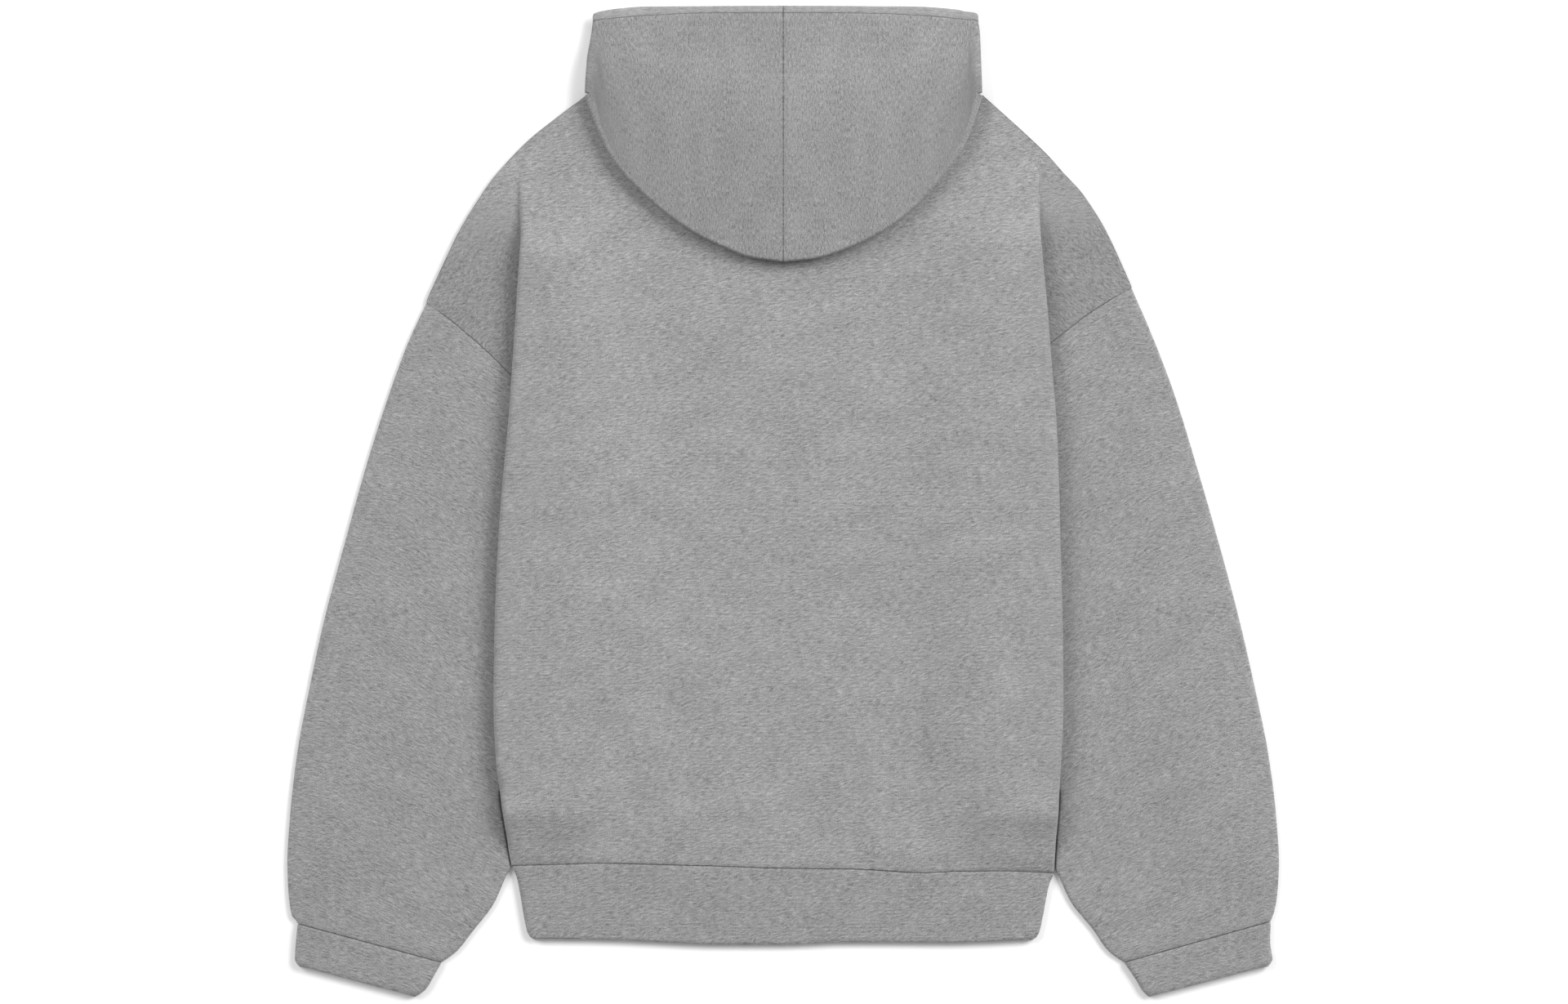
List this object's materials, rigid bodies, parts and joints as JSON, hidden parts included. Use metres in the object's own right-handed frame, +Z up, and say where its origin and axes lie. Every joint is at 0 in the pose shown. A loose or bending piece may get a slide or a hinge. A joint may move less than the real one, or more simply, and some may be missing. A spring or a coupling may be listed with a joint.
{
  "type": "pullover hoodie lying flat",
  "caption": "Oversized heather grey pullover hoodie laid flat face down, hood on the back, body sides tucked under, sleeves brought down beside it.",
  "frame": {"origin": "centre of the bounding box, on the surface that the garment lies on", "axes": "+Z up from the surface, +Y from the hem towards the hood's face opening, +X towards the right-hand sleeve as seen from above"},
  "size_m": [0.8376, 0.8363, 0.0202],
  "materials": {
    "fleece": "heather grey brushed fleece jersey",
    "hood_fleece": "heather grey brushed fleece jersey, doubled",
    "band_fleece": "heather grey jersey band, doubled",
    "rim_jersey": "smooth light grey jersey"
  },
  "bodies": {
    "root": {"back_panel": "fleece", "front_panel": "fleece", "sleeve_left": "fleece", "sleeve_right": "fleece", "cuff_left": "band_fleece", "cuff_right": "band_fleece", "hem_band": "band_fleece", "hood_left": "hood_fleece", "hood_right": "hood_fleece", "hood_rim_left": "rim_jersey", "hood_rim_right": "rim_jersey"}
  },
  "joints": []
}
